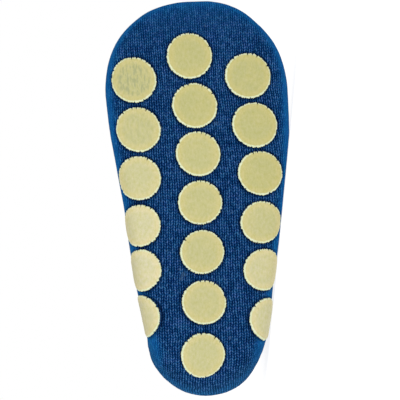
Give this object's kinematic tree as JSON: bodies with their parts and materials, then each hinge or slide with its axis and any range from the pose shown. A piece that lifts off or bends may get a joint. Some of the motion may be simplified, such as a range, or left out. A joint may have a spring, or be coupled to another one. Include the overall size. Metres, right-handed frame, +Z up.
{
  "type": "slipper sock",
  "caption": "Child's knitted slipper sock kept in the shape of a foot, with a ribbed cuff and round rubber grip dots under the sole, lying on its side.",
  "frame": {"origin": "on the floor, at the middle of the box that the lying sock fills", "axes": "+X from the heel to the toe, +Y from the sole to the cuff, +Z up from the side that lies on the floor"},
  "size_m": [0.1336, 0.109, 0.0643],
  "materials": {
    "blue_terry_knit": "soft matte knit",
    "cream_grip_rubber": "matte"
  },
  "bodies": {
    "root": {"knit_body": "blue_terry_knit", "grip_dot_middle_1": "cream_grip_rubber", "grip_dot_middle_2": "cream_grip_rubber", "grip_dot_middle_3": "cream_grip_rubber", "grip_dot_middle_4": "cream_grip_rubber", "grip_dot_middle_5": "cream_grip_rubber", "grip_dot_middle_6": "cream_grip_rubber", "grip_dot_middle_7": "cream_grip_rubber", "grip_dot_upper_side_1": "cream_grip_rubber", "grip_dot_upper_side_2": "cream_grip_rubber", "grip_dot_upper_side_3": "cream_grip_rubber", "grip_dot_upper_side_4": "cream_grip_rubber", "grip_dot_upper_side_5": "cream_grip_rubber", "grip_dot_upper_side_6": "cream_grip_rubber", "grip_dot_floor_side_1": "cream_grip_rubber", "grip_dot_floor_side_2": "cream_grip_rubber", "grip_dot_floor_side_3": "cream_grip_rubber", "grip_dot_floor_side_4": "cream_grip_rubber", "grip_dot_floor_side_5": "cream_grip_rubber", "grip_dot_floor_side_6": "cream_grip_rubber"}
  },
  "joints": []
}
